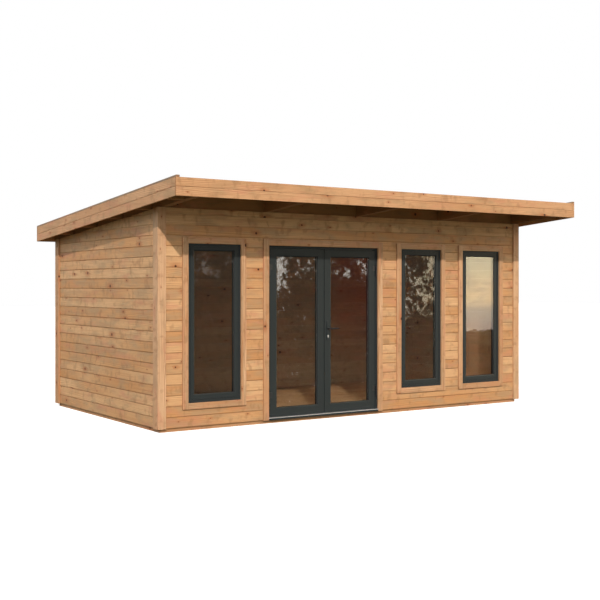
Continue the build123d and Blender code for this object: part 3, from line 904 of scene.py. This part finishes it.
def lapped_sheets():
    """Roofing laid along the building: each sheet's back edge lies over the sheet behind it.

    A sheet is a grid of (x, across). It lies on the roof boards, climbs by one thickness over the
    lap, and swells and dips by about a millimetre as a sum of slow waves in x and y. Where its back
    edge lies over a lap, that edge wanders as a sine of x."""
    draw = np.random.default_rng(ROOFING_SEED)
    left, right = strip_low.x + VERGE_STRIP_WIDTH, strip_high.x - VERGE_STRIP_WIDTH
    front, back = covering_low.y, covering_high.y
    along = np.linspace(left, right, 110)
    shells = []
    edge = back
    while edge > front + NARROWEST_SHEET:
        near = max(front, edge - ROOFING_WIDTH)
        lap = ROOFING_LAP if edge < back else 0.0
        if lap:
            over = edge - lap + lap * np.array(LAP_ROWS)
            across = np.concatenate([np.linspace(near, edge - lap, 14), over])
        else:
            across = np.linspace(near, edge, 15)
        grid_x, grid_y = np.meshgrid(along, across, indexing="ij")
        phase = draw.uniform(0, math.tau, 6)
        swell = sum(
            np.sin(grid_x * (2.1 + 1.7 * k) + grid_y * (1.3 - k) + phase[k]) / (k + 1.5) for k in range(4)
        )
        if lap:
            over_lap = np.clip((grid_y - (edge - lap)) / (lap * LAP_RISE), 0, 1)
        else:
            over_lap = np.zeros_like(grid_y)
        wave = EDGE_WANDER * np.sin(grid_x * EDGE_WAVES + phase[4])
        wander = wave * over_lap * (grid_y > edge - lap * LAP_EDGE)
        under = over_lap * ROOFING_THICKNESS + SHEET_SWELL * (swell - swell.min())
        base = roof_line(grid_y + wander, COVERING_THICKNESS)
        top = np.stack([grid_x, grid_y + wander, base + under + ROOFING_THICKNESS], -1)
        low = np.stack([grid_x, grid_y + wander, base + under], -1)
        shells.append(closed_sheet(top, low))
        edge = near + ROOFING_LAP if near > front else front
    return shells


def closed_sheet(top, low):
    """A thin closed skin between two grids of points of the same size."""
    rows, columns = top.shape[:2]
    count = rows * columns
    index = np.arange(count).reshape(rows, columns)
    face = np.stack([index[:-1, :-1], index[1:, :-1], index[1:, 1:], index[:-1, 1:]], -1).reshape(-1, 4)
    rim = np.concatenate([index[:-1, 0], index[-1, :-1], index[1:, -1][::-1], index[0, 1:][::-1]])
    after = np.roll(rim, -1)
    sides = np.stack([rim, after, after + count, rim + count], -1)
    points = np.concatenate([top.reshape(-1, 3), low.reshape(-1, 3)])
    return {"points": points, "faces": face.tolist() + (face[:, ::-1] + count).tolist() + sides.tolist()}


dress_walls()
dress_trims()
dress_fascias()
dress_floor()
dress_roof()


# Finishes that aren't timber
def painted(name, colour, lighter, roughness, shine=0.5):
    """Satin coating on the window and door frames, with a fine orange-peel relief."""
    material, tree, shader = blank_material(name)
    place = object_place(tree)
    cloud = noise(tree, place, 3.0, 3.0)
    peel = noise(tree, place, 900.0, 1.0)
    tree.links.new(blended(tree, cloud, colour, lighter), shader.inputs["Base Color"])
    tree.links.new(scaled(tree, cloud, 0.12, roughness - 0.06), shader.inputs["Roughness"])
    shader.inputs["Specular IOR Level"].default_value = shine
    bumped(tree, shader, peel, 0.12, 0.0002)
    return material


def metal(name, colour, roughness, brushed_along=None, metallic=1.0):
    """Bare metal; a brushed one has fine lines along an axis, and an anodised one is less metallic."""
    material, tree, shader = blank_material(name)
    scale = [700.0, 700.0, 700.0]
    if brushed_along is not None:
        scale[brushed_along] = 6.0
    lines = noise(tree, vector_calc(tree, "MULTIPLY", object_place(tree), scale)[0], 1.0, 2.0)
    darker = tuple(0.72 * part for part in colour[:3]) + (1.0,)
    tree.links.new(blended(tree, lines, darker, colour), shader.inputs["Base Color"])
    tree.links.new(scaled(tree, lines, 0.2, roughness - 0.1), shader.inputs["Roughness"])
    shader.inputs["Metallic"].default_value = metallic
    bumped(tree, shader, lines, 0.15, 0.0002)
    return material


def clear_glass():
    """Float glass with a faint tint, which lets the lamps' light through."""
    material, tree, shader = blank_material("float_glass")
    shader.inputs["Transmission Weight"].default_value = 1.0
    shader.inputs["IOR"].default_value = 1.5
    shader.inputs["Metallic"].default_value = 0.0
    cloud = noise(tree, object_place(tree), 1.4, 2.0)
    tint = blended(tree, cloud, srgb(216, 222, 220), srgb(222, 228, 226))
    tree.links.new(tint, shader.inputs["Base Color"])
    tree.links.new(times(tree, cloud, 0.01), shader.inputs["Roughness"])
    shadow = add_node(tree, "ShaderNodeLightPath").outputs["Is Shadow Ray"]
    clear = add_node(tree, "ShaderNodeBsdfTransparent", {"Color": srgb(251, 251, 251)})
    mixed = mixed_shader(tree, shadow, shader.outputs[0], clear.outputs[0])
    tree.links.new(mixed, tree.nodes["Material Output"].inputs["Surface"])
    return material


def roofing():
    """Mineral-faced roofing sheet: fine chips, with slow patches and stains that run down it."""
    material, tree, shader = blank_material("roofing_sheet")
    place = object_place(tree)
    chips = noise(tree, place, 700.0, 2.0, 0.7)
    patch = noise(tree, place, 2.0, 4.0, 0.6)
    parts = split(tree, place)
    runs = joined(tree, times(tree, parts[0], 9.0), parts[1])
    colour = blended(tree, between(tree, chips, 0.35, 0.7), srgb(46, 48, 50), srgb(98, 101, 101))
    colour = blended(tree, times(tree, patch, 0.35), colour, srgb(78, 79, 75))
    stain = between(tree, noise(tree, runs, 1.0, 4.0, 0.6), 0.5, 0.75)
    colour = blended(tree, times(tree, stain, 0.3), colour, srgb(52, 53, 52))
    tree.links.new(colour, shader.inputs["Base Color"])
    tree.links.new(scaled(tree, chips, 0.1, 0.82), shader.inputs["Roughness"])
    bumped(tree, shader, chips, 0.4, 0.001)
    return material


frame_coating = painted("frame_coating", srgb(46, 51, 52), srgb(50, 55, 55), 0.42, 0.12)
hinge_coating = painted("hinge_coating", srgb(30, 33, 35), srgb(38, 41, 43), 0.36)
gasket_rubber = painted("gasket_rubber", srgb(16, 17, 18), srgb(22, 23, 24), 0.6)
threshold_metal = metal("threshold_metal", srgb(206, 208, 210), 0.46, 0, 0.4)
lock_metal = metal("lock_metal", srgb(236, 235, 230), 0.34, None, 0.4)
spacer_metal = metal("spacer_metal", srgb(120, 124, 126), 0.4)
float_glass = clear_glass()


def box_shell(low, high):
    """The six faces between two corners."""
    x, y, z = (np.array([low[i], high[i]], float) for i in range(3))
    points = np.stack(np.meshgrid(x, y, z, indexing="ij"), -1).reshape(-1, 3)
    faces = [[0, 1, 3, 2], [4, 6, 7, 5], [0, 4, 5, 1], [2, 3, 7, 6], [0, 2, 6, 4], [1, 5, 7, 3]]
    return {"points": points, "faces": faces}


def ring_shell(x0, z0, x1, z1, section):
    """A section carried round a rectangle and mitred at its corners.

    A section row is (in, y): how far inside the rectangle the point lies, and its depth."""
    section = np.asarray(section, float)
    inward, depth = section[:, 0], section[:, 1]
    corners = [(x0, z0, 1, 1), (x1, z0, -1, 1), (x1, z1, -1, -1), (x0, z1, 1, -1)]
    rings = [
        np.stack([x + sx * inward, depth, z + sz * inward], -1) for x, z, sx, sz in corners
    ]
    count = len(section)
    faces = [
        [
            a * count + j,
            a * count + (j + 1) % count,
            (a + 1) % 4 * count + (j + 1) % count,
            (a + 1) % 4 * count + j,
        ]
        for a in range(4)
        for j in range(count)
    ]
    return {"points": np.concatenate(rings), "faces": faces}


def window_sight(node):
    """(left, foot, right, head) of the glass that shows in a window frame."""
    x0, z0, x1, z1 = clear_opening(node)
    return x0 + WINDOW_STILE, z0 + WINDOW_FOOT, x1 - WINDOW_STILE, z1 - WINDOW_HEAD


def door_sight(node):
    """The same for the glass of a door, whose edge is held in the leaf."""
    low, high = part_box(node)
    return low.x + GLASS_HOLD, low.z + GLASS_HOLD, high.x - GLASS_HOLD, high.z - GLASS_HOLD


def spacer_section(near, far):
    """A bar between two panes, whose edge towards the sight is bevelled to a nose."""
    return [
        (SPACER_EDGE, near),
        (SPACER_EDGE, far),
        (SPACER_SHOULDER, far),
        (SPACER_NOSE, far - SPACER_BEVEL),
        (SPACER_NOSE, near + SPACER_BEVEL),
        (SPACER_SHOULDER, near),
    ]


def gasket_section(y, way):
    """A lip on a pane's face at y: it slopes from its shoulder to a thin tip on the glass."""
    return [
        (GASKET_HEEL, y),
        (GASKET_TIP, y),
        (GASKET_TIP, y + way * GASKET_TIP_HEIGHT),
        (GASKET_SHOULDER, y + way * GASKET_HEIGHT),
        (GASKET_HEEL, y + way * GASKET_HEIGHT),
    ]


def dress_glass():
    """Sealed units: two panes, a spacer round the edge and a gasket on each face."""
    units = (
        ("window", "building", "window_glass", [window_sight(node) for node in window_frames]),
        ("left", "left_leaf", "left_door_glass", [door_sight("left_door_glass")]),
        ("right", "right_leaf", "right_door_glass", [door_sight("right_door_glass")]),
    )
    for key, body, node, sights in units:
        near, far = (corner.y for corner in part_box(node))
        panes, spacers, gaskets = [], [], []
        for x0, z0, x1, z1 in sights:
            edge = (x0 - GLASS_HOLD, z0 - GLASS_HOLD, x1 + GLASS_HOLD, z1 + GLASS_HOLD)
            for y in (near, far - PANE_THICKNESS):
                panes.append(box_shell((edge[0], y, edge[1]), (edge[2], y + PANE_THICKNESS, edge[3])))
            section = spacer_section(near + PANE_THICKNESS, far - PANE_THICKNESS)
            spacers.append(ring_shell(*edge, section))
            for y, way in ((near, -1), (far, 1)):
                gaskets.append(ring_shell(x0, z0, x1, z1, gasket_section(y, way)))
        piece(f"{key}_glass_panes", panes, float_glass, body, [node])
        piece(f"{key}_glass_spacers", spacers, spacer_metal, body)
        piece(f"{key}_glass_gaskets", gaskets, gasket_rubber, body)


dress_glass()

# Carcass nodes that keep their shape and take a finish
finishes = (
    (
        frame_coating,
        (*window_frames, "door_frame", "left_door", "right_door", "door_sill", "handle_plates"),
    ),
    (hinge_coating, ("frame_hinges", "left_door_hinges", "right_door_hinges", "door_levers")),
    (lock_metal, ("lock_cylinder",)),
    (threshold_metal, ("door_threshold",)),
    (timbers["rafter"], ("rafters",)),
    (timbers["lookout"], ("lookouts", "eaves_blocks")),
    (timbers["bearer"], ("base_bearers",)),
    (timbers["end_bearer"], ("end_bearers",)),
    (
        timbers["wall_core"],
        (
            "front_wall_left", "front_wall_right", "front_wall_over_door", "left_wall", "right_wall",
            "back_wall",
        ),
    ),
)
for material, nodes in finishes:
    for node in nodes:
        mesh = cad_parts[node].data
        mesh.materials.clear()
        mesh.materials.append(material)

piece(
    "roofing_sheets", lapped_sheets(), roofing(), stands_for=["roof_covering"], smooth=30.0
)


# Camera: the picture is 600 pixels square, and the pod stands level in it
PICTURE = 600
FOCAL_PIXELS = 1011.43
EYE_LINE_PIXEL = 286.63
VIEW_TURN = math.radians(33.845)
CAMERA_PLACE = (-6.987, -10.623, 1.470)
SENSOR = 36.0


def set_camera():
    """A level camera whose eye line lies a little above the middle of the picture."""
    data = bpy.data.cameras.new("camera")
    data.sensor_width = SENSOR
    data.lens = FOCAL_PIXELS / PICTURE * SENSOR
    data.shift_y = (EYE_LINE_PIXEL - PICTURE / 2) / PICTURE
    camera = put_in_scene("camera", data)
    camera.location = CAMERA_PLACE
    camera.rotation_euler = (math.pi / 2, 0, -VIEW_TURN)
    bpy.context.scene.camera = camera


# Light
KEY_STRENGTH = 2.62
KEY_SPREAD = 0.7
KEY_COLOUR = (1.0, 0.925, 0.863)
KEY_FROM = (-0.424, -0.743, 0.518)
MIRROR_STRENGTH = 6.5
SKY_STRENGTH = 1.76
SKY_BAND = (0.42, 0.65)
SKY_ABOVE = 0.04
SKY_CLIMB = 0.25
SKY_LOW = 0.32
SKY_FOOT = -0.1
SKY_LEFT = (0.92, 0.98, 1.05, 1)
SKY_RIGHT = (1.0, 0.87, 0.72, 1)
WARM_SIDE = (-0.2, 0.8)
LEFT_SIDE = (-1.0, 0.1)
LEFT_SHARE = 0.88

# What the glass mirrors: where one part gives way to the next, by how far a mirrored ray climbs
# and by how far it leans to the right
RISES = {
    "band": (-0.058, -0.036),
    "glow": (-0.034, -0.016),
    "pale": (-0.01, 0.04),
    "open": (-0.004, 0.018),
    "patch": (-0.036, 0.008),
    "right": (-0.05, -0.034),
    "ruddy": (-0.11, -0.02),
    "foot": (-0.135, -0.105),
}
TURNS = {
    "bar": (0.950, 0.968),
    "dark": (0.957, 0.968),
    "right": (0.80, 0.865),
    "grey": (0.59, 0.63),
    "tan": (0.80, 0.87),
    "ruddy": (0.69, 0.75),
    "past_ruddy": (0.80, 0.82),
    "glow": (0.895, 0.925),
}
BAR_RISE = 0.0045
BAR_WIDTH = (0.0008, 0.0034)
PATCH_TURN = 0.646
PATCH_WIDTH = (0.004, 0.020)
DARK_EDGE = (0.022, -0.070)


def mirrored_room(tree):
    """What the glass mirrors: a warm glow low on one side, and a dark broken screen on the other.

    turn is how far a mirrored ray leans to the right of straight ahead, and rise how far it climbs,
    both for each metre that it goes ahead."""
    way = heading(tree)
    ahead = calc(tree, "MAXIMUM", times(tree, way[1], -1.0), 0.05)
    turn = calc(tree, "DIVIDE", way[0], ahead)
    rise = calc(tree, "DIVIDE", way[2], ahead)
    spread = joined(tree, turn, rise, 0.31)
    flat = joined(tree, times(tree, turn, 0.25), rise)

    def climbed(part):
        return between(tree, rise, *RISES[part])

    def turned(part):
        return between(tree, turn, *TURNS[part])

    # The glow: a band at its foot, flat smudges and a bar over it, and a dark edge under it
    glow = blended(tree, climbed("band"), srgb(160, 142, 134), srgb(180, 166, 150))
    glow = blended(tree, climbed("glow"), glow, srgb(250, 213, 168))
    glow = blended(tree, climbed("pale"), glow, srgb(236, 216, 178))
    cloud = times(tree, between(tree, noise(tree, flat, 130.0, 5.0, 0.7), 0.42, 0.66), 0.55)
    glow = blended(tree, cloud, glow, srgb(186, 166, 146))
    off_bar = calc(tree, "ABSOLUTE", calc(tree, "SUBTRACT", rise, BAR_RISE))
    bar = times(tree, rest_of(tree, between(tree, off_bar, *BAR_WIDTH)), rest_of(tree, turned("bar")))
    glow = blended(tree, times(tree, bar, 0.5), glow, srgb(176, 156, 136))
    edge = scaled(tree, noise(tree, spread, 160.0, 4.0, 0.7), *DARK_EDGE)
    dark = blended(tree, turned("dark"), srgb(54, 30, 24), srgb(18, 14, 14))
    glow = blended(tree, calc(tree, "GREATER_THAN", rise, edge), dark, glow)

    # The screen: specks of light between dark ones, more of them where it opens
    top = times(tree, climbed("open"), 0.56)
    off_patch = calc(tree, "ABSOLUTE", calc(tree, "SUBTRACT", turn, PATCH_TURN))
    patch = times(
        tree, rest_of(tree, between(tree, off_patch, *PATCH_WIDTH)), times(tree, climbed("patch"), 1.12)
    )
    right = times(tree, times(tree, turned("right"), climbed("right")), 0.76)
    openness = calc(tree, "MAXIMUM", top, calc(tree, "MAXIMUM", patch, right))
    coarse = scaled(tree, noise(tree, spread, 45.0, 2.0), 0.9, -0.6)
    specks = scaled(tree, noise(tree, spread, 205.0, 4.0, 0.65), 1.5, coarse)
    lit = between(tree, scaled(tree, openness, 0.38, specks), 0.86, 1.14)
    bright = blended(tree, turned("grey"), srgb(106, 98, 92), srgb(204, 194, 186))
    bright = blended(tree, turned("tan"), bright, srgb(180, 164, 138))
    ruddy = times(tree, turned("ruddy"), rest_of(tree, turned("past_ruddy")))
    ruddy = times(tree, ruddy, climbed("ruddy"))
    shade = blended(tree, ruddy, srgb(46, 42, 35), srgb(58, 30, 25))
    shade = blended(tree, climbed("foot"), srgb(24, 20, 17), shade)
    screen = blended(tree, lit, shade, bright)
    return blended(tree, turned("glow"), screen, glow)


def set_light():
    """A low key light from the front left, and an even pale surround."""
    key = bpy.data.lights.new("key_light", "SUN")
    key.energy = KEY_STRENGTH
    key.angle = math.radians(KEY_SPREAD)
    key.color = KEY_COLOUR
    lamp = put_in_scene("key_light", key)
    lamp.rotation_euler = Vector(KEY_FROM).to_track_quat("Z", "Y").to_euler()

    # The surround: a soft band that is dim overhead and near the ground
    world = bpy.data.worlds.new("surround")
    bpy.context.scene.world = world
    world.use_nodes = True
    tree = world.node_tree
    soft = tree.nodes["Background"]
    way = heading(tree)
    warmth = between(tree, way[0], *WARM_SIDE)
    tree.links.new(blended(tree, warmth, SKY_LEFT, SKY_RIGHT), soft.inputs["Color"])
    fade = scaled(tree, between(tree, way[2], *SKY_BAND), SKY_ABOVE - 1.0, 1.0)
    low = times(tree, between(tree, way[2], SKY_FOOT, 0.0), SKY_LOW)
    foot = scaled(tree, between(tree, way[2], 0.0, SKY_CLIMB), 1 - SKY_LOW, low)
    strength = times(tree, times(tree, fade, foot), SKY_STRENGTH)
    side = scaled(tree, between(tree, way[0], *LEFT_SIDE), 1 - LEFT_SHARE, LEFT_SHARE)
    tree.links.new(times(tree, strength, side), soft.inputs["Strength"])

    # White behind the pod and through its glass, and the mirrored room for what its front mirrors
    white = add_node(tree, "ShaderNodeBackground", {"Color": (1, 1, 1, 1), "Strength": 1.0})
    mirror = add_node(
        tree, "ShaderNodeBackground", {"Color": mirrored_room(tree), "Strength": MIRROR_STRENGTH}
    )
    path = add_node(tree, "ShaderNodeLightPath").outputs
    undiffused = calc(tree, "LESS_THAN", path["Diffuse Depth"], 0.5)
    through = times(tree, path["Is Transmission Ray"], undiffused)
    to_front = calc(tree, "LESS_THAN", way[1], 0.0)
    mirrored = times(tree, times(tree, path["Is Glossy Ray"], undiffused), to_front)
    seen = calc(tree, "MAXIMUM", path["Is Camera Ray"], through)
    full = mixed_shader(tree, seen, soft.outputs[0], white.outputs[0])
    full = mixed_shader(tree, mirrored, full, mirror.outputs[0])
    tree.links.new(full, tree.nodes["World Output"].inputs["Surface"])


FLOOR_REACH = 60.0
FLOOR_TONES = ((0.86, 0.86, 0.86, 1), (0.88, 0.88, 0.88, 1))
FLOOR_BOUNCE = (0.22, 0.225, 0.155, 1)


def set_floor():
    """A plain pale floor, which throws back little light from below and isn't seen through glass."""
    mesh = bpy.data.meshes.new("studio_floor")
    r = FLOOR_REACH
    mesh.from_pydata([(-r, -r, 0), (r, -r, 0), (r, r, 0), (-r, r, 0)], [], [(0, 1, 2, 3)])
    floor = put_in_scene("studio_floor", mesh)
    material, tree, shader = blank_material("studio_floor")
    shader.inputs["Roughness"].default_value = 0.9
    cloud = noise(tree, object_place(tree), 0.6, 2.0)
    tree.links.new(blended(tree, cloud, *FLOOR_TONES), shader.inputs["Base Color"])
    shader.inputs["Emission Color"].default_value = (1, 1, 1, 1)
    shader.inputs["Emission Strength"].default_value = 0.6
    dull = add_node(tree, "ShaderNodeBsdfDiffuse", {"Color": FLOOR_BOUNCE})
    path = add_node(tree, "ShaderNodeLightPath").outputs
    mixed = mixed_shader(tree, path["Is Camera Ray"], dull.outputs[0], shader.outputs[0])
    undiffused = calc(tree, "LESS_THAN", path["Diffuse Depth"], 0.5)
    through_glass = times(tree, path["Is Transmission Ray"], undiffused)
    unseen = add_node(tree, "ShaderNodeBsdfTransparent")
    mixed = mixed_shader(tree, through_glass, mixed, unseen.outputs[0])
    tree.links.new(mixed, tree.nodes["Material Output"].inputs["Surface"])
    mesh.materials.append(material)
    floor.visible_glossy = False


set_camera()
set_light()
set_floor()
bpy.context.scene.view_settings.view_transform = "Standard"
bpy.context.scene.view_settings.look = "None"
